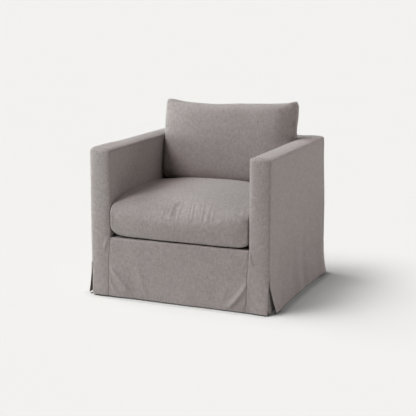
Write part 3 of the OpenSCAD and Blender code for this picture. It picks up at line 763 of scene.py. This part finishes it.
def outside_back():
    top = AH - CR
    along, d_side = across(2 * HW, 0.009)
    D, Z = grid(d_side, spread(HEM, top, 0.0085))
    U = np.broadcast_to(along[:, None], D.shape)
    X0 = D - HW
    shut, opened = shut_above(Z, BACK_SLIT), slit_open(Z, BACK_SLIT)
    d_free = HW - np.abs(X0)
    X = X0 + np.sign(X0) * 0.002 * opened * (1 - smooth(d_free, 0, 0.1))
    X = X + corner_push(Z) * smooth(X0, 0.2, 0.42)
    d_top = top - Z
    height = -shut * roll(d_free) - (1 - shut) * 0.0012 * np.exp(-d_free / 0.004) - seam(d_top, 0.0007)
    quiet = smooth(np.minimum(d_free, d_top), 0.002, 0.03)
    height += quiet * loose(X0, Z, 101, 0.0018) + hem_fold(Z) - 0.0015 * smooth(-d_top, -0.03, 0)
    height += (shut * pucker(Z, d_free, 103, 0.0007) + pucker(X0, d_top, 105, 0.0006)) * quiet
    height += 0.0026 * smooth(0.5 - Z, 0, 0.45) * noise(X0 / 0.09, Z / 0.6, 107) * quiet
    Y = HD + back_hang(X0, Z) + height
    panel(
        "outside_back", (X, Y, Z), (U, Z), (0, 1, 0),
        "cover_outside_back",
    )


def underlay(side, end):
    """The flap behind a corner's slit: it turns the corner inside the skirt, and hangs free too."""
    leaf, r = 0.105, 0.012
    x1, y1 = HW - 0.0035, HD - 0.0035
    flat = leaf - r
    arc = r * math.pi / 2
    run = np.linspace(0, flat, 16)
    q = np.concatenate([run, flat + np.linspace(0, arc, 8)[1:], flat + arc + run[1:]])
    angle = np.clip((q - flat) / r, 0, math.pi / 2)
    x = x1 - r - flat + np.clip(q, 0, flat) + r * np.sin(angle)
    y = y1 - r * (1 - np.cos(angle)) - np.clip(q - flat - arc, 0, None)
    Q, Z = grid(q, spread(HEM + 0.001, FLAP_TOP, 0.008, end=False))
    X, Y, A = (np.broadcast_to(w[:, None], Q.shape) for w in (x, y, angle))
    h = 0.0014 * smooth(0.15 - Z, 0, 0.14) * noise(Q / 0.05 + side, Z / 0.2 + end, 111)
    hang = front_hang(side * X, Z) if end < 0 else back_hang(X, Z)
    X = X + np.sin(A) * (h + 0.25 * side_hang(end * Y, Z, side > 0))
    Y = Y + np.cos(A) * (h + 0.2 * hang)
    arm_name = SIDE_NAME[side]
    name = arm_name + ("_back" if end > 0 else "_front")
    panel(
        f"underlay_{name}", (side * X, end * Y, Z), (Q, Z), (side * 0.7, end * 0.7, 0),
        "cover_corner_underlays",
    )


for side in (1, -1):
    arm_boxing(side)
    outside_arm(side)
    inside_arm(side)
front_panel()
deck()
inside_back()
back_boxing()
outside_back()
for side in (1, -1):
    for end in (1, -1):
        underlay(side, end)


# ---------------------------------------------------------------- cushions
def points(obj):
    co = np.empty(len(obj.data.vertices) * 3, np.float32)
    obj.data.vertices.foreach_get("co", co)
    return co.reshape(-1, 3).astype(float)


def set_points(obj, co):
    obj.data.vertices.foreach_set("co", np.asarray(co, np.float32).ravel())
    obj.data.update()


def vertex_normals(obj):
    n = np.empty(len(obj.data.vertices) * 3, np.float32)
    obj.data.vertices.foreach_get("normal", n)
    return n.reshape(-1, 3).astype(float)


def subdivide(obj):
    """Applies one level of subdivision surface to the mesh."""
    sub = obj.modifiers.new("subdivision", "SUBSURF")
    sub.levels = sub.render_levels = 1
    fine = bpy.data.meshes.new_from_object(obj.evaluated_get(bpy.context.evaluated_depsgraph_get()))
    obj.modifiers.remove(sub)
    old = obj.data
    obj.data = fine
    bpy.data.meshes.remove(old)
    fine.polygons.foreach_set("use_smooth", np.ones(len(fine.polygons), bool))
    return obj


def flat_at_zip(co, node, wall, far, near, width):
    """Brings a cushion's rear face out flat to its zip, which lies at wall."""
    zip_z = (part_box(node)[0].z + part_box(node)[1].z) / 2
    at_zip = smooth(co[:, 1], wall - far, wall - near) * bell(co[:, 2], zip_z, width)
    co[:, 1] += (wall - 0.0003 - co[:, 1]) * at_zip
    return co


def finish_cushion(obj, body, cover_node, layers):
    """Gives a cushion its cloth, and puts the layers of its filling inside it."""
    for name, node, scale, material, slot in layers:
        layer = bpy.data.objects.new(name, obj.data.copy())
        scene.collection.objects.link(layer)
        layer.data.materials.clear()
        layer.data.materials.append(material)
        co = points(layer) - vertex_normals(obj) * 0.005
        centre = (co.min(0) + co.max(0)) / 2
        set_points(layer, centre + (co - centre) * np.array(scale))
        layer.modifiers.new("fewer", "DECIMATE").ratio = 0.12
        done = layer.evaluated_get(bpy.context.evaluated_depsgraph_get())
        layer.data = bpy.data.meshes.new_from_object(done)
        layer.modifiers.clear()
        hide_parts(node)
        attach(layer, body)
    obj.data.materials.clear()
    obj.data.materials.append(linen_cover)
    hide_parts(cover_node)
    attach(obj, body)


# ---- seat cushion: a wrap that runs over the top, down the front and back underneath, with two sides
(_, SY0, SZ0), (SX, SY1, SZ1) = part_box("seat_cushion_cover")


def seat_ring(x, phi):
    """Points round the seat cushion at x; phi runs from the back's middle over the top to the front."""
    e = np.clip(np.abs(x) / SX, 0, 1)
    ends_in = np.where(x > 0, 0.006 * e**6 + 0.013 * e**30, -0.001 * e**6 + 0.001 * e**30)
    y0 = SY0 + 0.008 - 0.003 * e**2 + ends_in
    y1 = SY1 - 0.0005 - 0.004 * e**4
    z0 = SZ0 + 0.0005 + np.where(x > 0, 0.001, 0.004) * e**2
    z1 = 0.4635 + 0.0190 * (1 - e**2.6)
    yc, half = (y0 + y1) / 2, (y1 - y0) / 2
    zc = z0 + (z1 - z0) * 0.48
    c, s = np.cos(phi), np.sin(phi)
    n = np.where(c > 0, 7.0, np.where(s > 0, 3.9, 26.0))
    rad = (np.abs(c) ** n + np.abs(s) ** n) ** (-1 / n)
    t = rad * c
    y = yc + half * t
    z = zc + np.where(s > 0, z1 - zc, zc - z0) * rad * s
    over = np.clip((z - zc) / (z1 - zc), 0, 1)
    under = np.clip((zc - z) / (zc - z0), 0, 1)
    z = z - over * np.where(t > 0, 0.022 * np.abs(t) ** 3, 0.008 * t * t)
    z += under * (0.026 * e**12 + 0.016 * e**40) * smooth(-t, -0.4, 0.6) * np.where(x > 0, 0.6, 1)
    z += over * (0.003 * e**4 * (1 - t * t) - 0.012 * smooth(x, 0.08, 0.33) * smooth(t, -0.3, 0.6))
    return y, z


def seat_cushion():
    ring_n, across = 200, 92
    fine = np.linspace(0, 2 * math.pi, 4001)
    y, z = seat_ring(np.zeros_like(fine), fine)
    length = np.concatenate([[0], np.cumsum(np.hypot(np.diff(y), np.diff(z)))])
    even = np.interp(np.linspace(0, length[-1], ring_n + 1), length, fine)
    xs = np.linspace(-SX, SX, across + 1)
    X, P = grid(xs, even[:-1])
    Y, Z = seat_ring(X, P)
    wrap = np.stack([X, Y, Z], -1)
    verts = [wrap.reshape(-1, 3)]
    index = np.arange((across + 1) * ring_n).reshape(across + 1, ring_n)
    a, b = index[:-1], index[1:]
    faces = [np.stack([a, np.roll(a, -1, 1), np.roll(b, -1, 1), b], -1).reshape(-1, 4)]
    s = np.linspace(0, length[-1], ring_n + 1)
    U, S = grid(xs, s)
    cell = lambda q: np.stack([q[:-1, :-1], q[:-1, 1:], q[1:, 1:], q[1:, :-1]], -1)
    uv = np.stack([cell(U), cell(S)], -1).reshape(-1, 2)
    base = wrap.size // 3
    for row, k in ((0, -1), (across, 1)):
        edge = wrap[row]
        centre_y = np.clip(edge[:, 1], SY0 + 0.065, SY1 - 0.065)
        centre = np.stack([edge[:, 0], centre_y, np.full(ring_n, edge[:, 2].mean())], -1)
        before = index[row]
        rings = 7
        for i in range(1, rings + 1):
            t = i / rings
            ring = edge + (centre - edge) * t
            ring[:, 0] += k * 0.0015 * math.sin(t * math.pi / 2)
            verts.append(ring)
            now = base + np.arange(ring_n)
            base += ring_n
            quad = np.stack([before, np.roll(before, -1), np.roll(now, -1), now], -1)
            faces.append(quad if k > 0 else quad[:, ::-1])
            before = now
    verts, faces = np.concatenate(verts), np.concatenate(faces)
    side_uv = verts[faces[len(uv) // 4:]][:, :, 1:3].reshape(-1, 2)
    return mesh_object("seat_cushion", verts, faces, np.concatenate([uv, side_uv])), wrap


def merge_close(obj, distance):
    """Merges the points that meet where the last rings close on a line."""
    bm = bmesh.new()
    bm.from_mesh(obj.data)
    bmesh.ops.remove_doubles(bm, verts=bm.verts, dist=distance)
    bmesh.ops.recalc_face_normals(bm, faces=bm.faces)
    bm.to_mesh(obj.data)
    bm.free()
    obj.data.update()


raw, wrap = seat_cushion()
merge_close(raw, 0.0008)
co = points(raw)
# held while it swells: the seams of both sides, and the lower front edge
low = int(np.argmax(-wrap[len(wrap) // 2, :, 1] - wrap[len(wrap) // 2, :, 2]))
on_seam = np.zeros(len(co), bool)
for line in (wrap[0], wrap[-1], wrap[:, low - 1], wrap[:, low]):
    for start in range(0, len(co), 4000):
        part = co[start : start + 4000]
        gap = np.linalg.norm(part[:, None] - line[None], axis=2).min(1)
        on_seam[start : start + 4000] |= gap < 1e-4


def run_cloth(obj, held, pressure, extra, frames, cap):
    """Swells a sewn cover that is held at its seams; no point moves further than cap."""
    before = points(obj)
    group = obj.vertex_groups.new(name="seams")
    group.add([int(i) for i in np.nonzero(held)[0]], 1.0, "REPLACE")
    cloth = obj.modifiers.new("cloth", "CLOTH")
    settings = cloth.settings
    settings.quality, settings.mass = 6, 0.25
    settings.tension_stiffness, settings.compression_stiffness = 25, 5
    settings.shear_stiffness, settings.bending_stiffness = 8, 0.05
    settings.air_damping = 2
    settings.vertex_group_mass, settings.pin_stiffness = "seams", 1
    settings.shrink_min = -extra
    settings.use_pressure, settings.uniform_pressure_force = True, pressure
    settings.effector_weights.gravity = 0
    cloth.point_cache.frame_start, cloth.point_cache.frame_end = 1, frames
    scene.frame_start, scene.frame_end = 1, frames
    for f in range(1, frames + 1):
        scene.frame_set(f)
    move = points(obj.evaluated_get(bpy.context.evaluated_depsgraph_get())) - before
    obj.modifiers.remove(cloth)
    obj.vertex_groups.clear()
    scene.frame_set(1)
    far = np.linalg.norm(move, axis=1, keepdims=True)
    set_points(obj, before + move * np.minimum(1, cap / np.maximum(far, 1e-9)))


run_cloth(raw, on_seam, 1.0, 0.001, 20, 0.022)


def seat_limits(co):
    """Keeps the seat cushion between the arms, off the deck and against the back."""
    x, y, z = co.T.copy()
    lim = BX - CUSHION_GAP
    x = np.clip(x, -lim, lim)
    floor = DZ + 0.0012
    z = np.where(z < floor + 0.006, floor + 0.006 * np.exp((z - floor - 0.006) / 0.012), z)
    z = np.maximum(z, floor)
    top = SZ1 + 0.002
    z = np.where(z > top - 0.01, top - 0.01 + 0.01 * np.tanh((z - top + 0.01) / 0.01), z)
    y = np.clip(y, SY0 - 0.006, SY1)
    return np.stack([x, y, z], 1)


set_points(raw, seat_limits(points(raw)))
seat = subdivide(raw)
co, n = points(seat), vertex_normals(seat)
x, y, z = co.T
edge = SX - np.abs(x)
on_wrap = smooth(edge, 0.001, 0.012)
front = smooth(-y, 0.22, 0.36) * smooth(z, 0.30, 0.36)
creases = noise(x / 0.0082 + 1.4 * noise(z / 0.04, x / 0.1, 121), (z - y) / 0.032, 122)
where = smooth(x, -0.16, 0.02) * (1 - 0.6 * smooth(x, 0.18, 0.29)) * bell(z, 0.428, 0.038)
where = where + 0.30 * bell(z, 0.40, 0.06)
h = 0.0013 * creases * where * front
slant = noise((x - 0.55 * (z - y)) / 0.013, (z - y + 0.5 * x) / 0.10, 124)
h += 0.0007 * slant * front * smooth(x, -0.2, 0.05) * bell(z, 0.465, 0.022)
h += 0.0011 * noise(x / 0.09, (y + z) / 0.10, 126) + 0.0004 * noise(x / 0.03, (y + z) / 0.04, 128)
h += 0.0016 * noise((y - z) / 0.011, edge / 0.09, 130) * np.exp(-edge / 0.022) * smooth(-y, 0.2, 0.38)
end_seam = 0.0024 * bell(edge, 0.0065, 0.0042) - 0.0008 * bell(edge, 0.0, 0.002)
h += end_seam * smooth(z, SZ0 + 0.02, SZ0 + 0.03)
co = seat_limits(co + n * (h * (0.4 + 0.6 * on_wrap))[:, None])
set_points(seat, flat_at_zip(co, "seat_cushion_zip", SY1, 0.03, 0.012, 0.05))
finish_cushion(
    seat, "seat_cushion", "seat_cushion_cover", [
        ("seat_wrap", "seat_cushion_wrap", (0.99, 0.99, 0.95), wadding, "white_wadding"),
        ("seat_core", "seat_cushion_core", (0.91, 0.90, 0.72), foam, "foam"),
    ],
)

# ---- back cushion: two sheets sewn edge to edge
(_, _, PZ0), (PX, PY1, PZ1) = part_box("back_cushion_cover")


def pillow_grid(n, power):
    """Places from -1 to 1, close together where a section of the pillow turns its corners."""
    a = np.concatenate([[0.0], 1 - np.logspace(-0.3, -7, 400), [1.0]])
    depth = (1 - a**power) ** (1 / power) * 0.28
    length = np.concatenate([[0], np.cumsum(np.hypot(np.diff(a), np.diff(depth)))])
    half = np.interp(np.linspace(0, length[-1], n // 2 + 1), length, a)
    return np.concatenate([-half[:0:-1], half])


def pillow():
    """Two sheets sewn edge to edge: a leaning slab with soft edges, flat sides and two small ears."""
    a, b = grid(pillow_grid(104, 12.0), pillow_grid(66, 8.0))
    up = (b + 1) / 2
    ea, top = np.abs(a), smooth(up, 0.62, 1.0)
    z0 = PZ0 + 0.002
    level = PZ1 - 0.016 + 0.0125 * ea**2.4 + 0.0051 * np.tanh(a / 0.2)
    z1 = level + 0.009 * smooth(-a, 0.73, 0.94) + 0.0075 * smooth(a, 0.79, 0.94)
    z = z0 + up * (z1 - z0)
    wide_l = 0.3315 + 0.0068 * smooth(z, 0.675, 0.695) + 0.0012 * smooth(z, 0.70, 0.80)
    wide_r = 0.3305 + 0.0090 * smooth(z, 0.675, 0.70) + 0.0045 * smooth(z, 0.72, 0.80)
    half_w = np.where(a < 0, wide_l, wide_r)
    x = a * half_w
    # the outline's corners are turned with a small radius
    cx, cz = np.clip((ea - 0.94) / 0.06, 0, 1), np.clip((np.abs(b) - 0.88) / 0.12, 0, 1)
    turn = np.where(a > 0, 0.0100, 0.0060) * cx**2 * cz**2
    x, z = x - np.sign(a) * turn, z - np.sign(b) * turn
    p = 22 - 16 * smooth(up, 0.42, 0.66) - 2.4 * smooth(up, 0.66, 0.9)
    left = (1 - ea**p) ** (1 / p)
    turned = np.clip((ea - 0.73) / 0.27, 0, 1)
    right = (1 - turned**2.0) ** (1 / 2.0)
    upper = smooth(up, 0.42, 0.66)
    across = np.where(a < 0, left, left * (1 - upper) + right * upper)
    rise = np.where(b > 0, (1 - np.abs(b) ** 7) ** (1 / 7), (1 - np.abs(b) ** 4.6) ** (1 / 4.6))
    section = np.nan_to_num(across * rise)
    seam_y = 0.219 + 0.021 * up + 0.008 * smooth(a, 0.5, 1.0) * top
    lean = 0.1475 + 0.056 * (z - 0.466) / 0.38
    front_y = lean - (0.018 + 0.010 * up) * (1 - ea**2.5) - 0.012 * smooth(a, 0.2, 0.8) * up
    face = np.stack([x, seam_y - (seam_y - front_y) * section, z], -1)
    rear = np.stack([x, seam_y + (PY1 - 0.001 - seam_y) * section, z], -1)
    f = np.arange(a.size).reshape(a.shape)
    inner = np.zeros_like(f, bool)
    inner[1:-1, 1:-1] = True
    r = f.copy()
    r[inner] = a.size + np.arange(inner.sum())
    verts = np.concatenate([face.reshape(-1, 3), rear[inner]])
    cells = lambda q: np.stack([q[:-1, :-1], q[1:, :-1], q[1:, 1:], q[:-1, 1:]], 2)
    faces = np.concatenate([cells(f).reshape(-1, 4), cells(r).reshape(-1, 4)[:, ::-1]])
    run = lambda q: np.concatenate([[0.0], np.cumsum(q)])
    u = run(np.linalg.norm(np.diff(face[:, 30], axis=0), axis=-1))
    v = run(np.linalg.norm(np.diff(face[a.shape[0] // 2], axis=0), axis=-1))
    flat = np.stack(grid(u, v), -1)
    flat = cells(flat).reshape(-1, 4, 2)
    uv = np.concatenate([flat, flat[:, ::-1] + [1.0, 0.0]])
    obj = mesh_object("back_cushion", verts, faces, uv.reshape(-1, 2))
    held = np.zeros(len(verts), bool)
    held[f[~inner]] = True
    return obj, held


def pillow_limits(co):
    """Keeps the back cushion between the arms, off the seat and against the back."""
    x, y, z = co.T.copy()
    wall = PY1 - 0.0002
    y = np.where(y > wall - 0.012, wall - 0.012 + 0.012 * np.tanh((y - wall + 0.012) / 0.012), y)
    low, rest = PZ0 + 0.0015, 0.006
    z = np.where(z < low + rest, low + rest * np.exp((z - low - rest) / rest), z)
    limit = BX - 0.0025 + 0.014 * smooth(z, AH - 0.004, AH + 0.012)
    x = np.clip(x, -limit, limit)
    return np.stack([x, y, z], 1)


cushion, held = pillow()
run_cloth(cushion, held, 4.0, 0.016, 24, 0.024)
set_points(cushion, pillow_limits(points(cushion)))
cushion = subdivide(cushion)
co, n = points(cushion), vertex_normals(cushion)
x, y, z = co.T
e_side, e_top = PX - np.abs(x), PZ1 - z
facing = smooth(-n[:, 1], 0.0, 0.4)
h = 0.0010 * noise(x / 0.10, z / 0.11, 141) + 0.0004 * noise(x / 0.03, z / 0.035, 143)
at_left = 1 - smooth(x, -0.20, -0.05)
h += 0.0020 * noise(x / 0.013, z / 0.07, 145) * np.exp(-e_top / 0.026) * at_left * facing
h += 0.0013 * noise((x - z) / 0.015, (x + z) / 0.06, 147) * np.exp(-np.hypot(e_side, e_top) / 0.05)
h += fold(x, z, (0.330, 0.850), (0.318, 0.835), (0.306, 0.800), 0.006, 0.0022, 0.5) * facing
h += fold(x, z, (0.332, 0.700), (0.333, 0.770), (0.338, 0.842), 0.0055, 0.0028, 0.3, 0.3) * facing
co = co + n * h[:, None]
set_points(cushion, pillow_limits(flat_at_zip(co, "back_cushion_zip", PY1, 0.04, 0.015, 0.06)))
finish_cushion(
    cushion, "back_cushion", "back_cushion_cover",
    [("back_fill", "back_cushion_fill", (0.965, 0.92, 0.95), wadding, "white_wadding")],
)

# ---------------------------------------------------------------- floor and light
BACKGROUND = (0.888, 0.880, 0.863)
WARM = tint(BACKGROUND, 1 / BACKGROUND[0])
AMBIENT = (0.022, 0.020, 0.020)
FLOOR = (0.10, 0.10, 0.10)
GLOW = 0.1925
SWEEP = 21.9
SQUARE = np.array([[-1.0, -1.0, 0.0], [1.0, -1.0, 0.0], [1.0, 1.0, 0.0], [-1.0, 1.0, 0.0]]) * 600.0
floor = mesh_object("floor", SQUARE, np.array([[0, 1, 2, 3]]))
m = Nodes("floor", roughness=0.9, specular=0.0)
m.colour(m.ramp(m.noise(m.place(), 0.8, 2.0), [(0.0, tint(FLOOR, 0.99)), (1.0, tint(FLOOR, 1.01))]))
m.shader.inputs["Emission Color"].default_value = (*WARM, 1.0)
# the floor's even glow is dimmed by ambient occlusion within a few centimetres of the chair: a painted
# contact shadow under and beside the skirt
painted_contact_shadow = m.tree.nodes.new("ShaderNodeAmbientOcclusion")
painted_contact_shadow.samples, painted_contact_shadow.only_local = 8, False
painted_contact_shadow.inputs["Distance"].default_value = 0.045
glow_with_painted_shadow = m.math("MULTIPLY", m.math("POWER", painted_contact_shadow.outputs["AO"], 2.6), GLOW)
m.plug(glow_with_painted_shadow, m.shader.inputs["Emission Strength"])
floor.data.materials.append(m.material)

# a far backdrop of the same tone for views from low down; it lights nothing and casts no shadow
backdrop = mesh_object(
    "backdrop", np.concatenate([SQUARE, SQUARE + [0.0, 0.0, 140.0]]),
    np.array([[i, (i + 1) % 4, (i + 1) % 4 + 4, i + 4] for i in range(4)]),
)
m = Nodes("backdrop", roughness=1.0, specular=0.0)
m.colour((0.0, 0.0, 0.0, 1.0))
ends = [(0.0, tint(BACKGROUND, 0.998)), (1.0, tint(BACKGROUND, 1.002))]
tone = m.ramp(m.noise(m.place(), 0.01, 2.0), ends)
m.plug(tone, m.shader.inputs["Emission Color"])
m.shader.inputs["Emission Strength"].default_value = 1.0
backdrop.data.materials.append(m.material)
backdrop.visible_diffuse = backdrop.visible_glossy = backdrop.visible_shadow = False

world = bpy.data.worlds.new("studio")
scene.world = world
world.use_nodes = True
sky = world.node_tree.nodes["Background"].inputs
sky["Color"].default_value, sky["Strength"].default_value = (*AMBIENT, 1.0), 1.0

# the chair and the floor are lit apart, so that the floor stays a plain pale sweep
on_chair, on_floor = bpy.data.collections.new("lit_chair"), bpy.data.collections.new("lit_floor")
on_floor.objects.link(floor)
for obj in list(scene.objects):
    if obj.type == "MESH" and obj not in (floor, backdrop):
        on_chair.objects.link(obj)


def lamp(name, kind, direction, energy, colour, receivers):
    """A light that shines from direction, on the receivers only."""
    light = bpy.data.objects.new(name, bpy.data.lights.new(name, kind))
    scene.collection.objects.link(light)
    light.rotation_mode = "QUATERNION"
    light.rotation_quaternion = Vector(direction).to_track_quat("Z", "Y")
    light.data.energy, light.data.color = energy, colour
    light.light_linking.receiver_collection = receivers
    return light


def towards(around, rise):
    """Direction to a light: around from the chair's front to its +X side, and up, in degrees."""
    a, e = math.radians(around), math.radians(rise)
    return math.sin(a) * math.cos(e), -math.cos(a) * math.cos(e), math.sin(e)


for name, around, rise, angle, strength, colour in (
    ("side_key", 270.0, 45.0, 26.0, 2.30, (0.90, 1.02, 1.03)),
    ("front_key", 320.0, 45.0, 26.0, 1.98, (1.05, 0.96, 0.99)),
    ("rear_low", 165.0, 20.0, 40.0, 1.55, (1.03, 0.98, 0.99)),
    ("right_fill", 100.0, 45.0, 40.0, 0.95, (1.05, 0.97, 0.97)),
):
    lamp(name, "SUN", towards(around, rise), strength, colour, on_chair).data.angle = math.radians(angle)
for name, around, rise, share in (
    ("sweep_high", 288.0, 70.0, 0.39), ("sweep_top", 265.0, 80.0, 0.15),
    ("sweep_middle", 306.0, 56.0, 0.34), ("sweep_low", 262.0, 48.0, 0.12),
):
    strength = SWEEP * share / math.sin(math.radians(rise))
    light = lamp(name, "SUN", towards(around, rise), strength, WARM, on_floor)
    light.data.angle = math.radians(28.0)

for name, place, power, colour in (
    ("near_side", (-2.0, -0.5, 0.8), 22.0, (0.97, 1.0, 1.01)),
    ("near_front", (-1.2, -1.3, 1.1), 6.0, (0.78, 1.0, 1.04)),
):
    near = lamp(name, "AREA", Vector(place) - Vector((0, -0.1, 0.4)), power, colour, on_chair)
    near.location = place
    near.data.shape, near.data.size = "DISK", 0.7
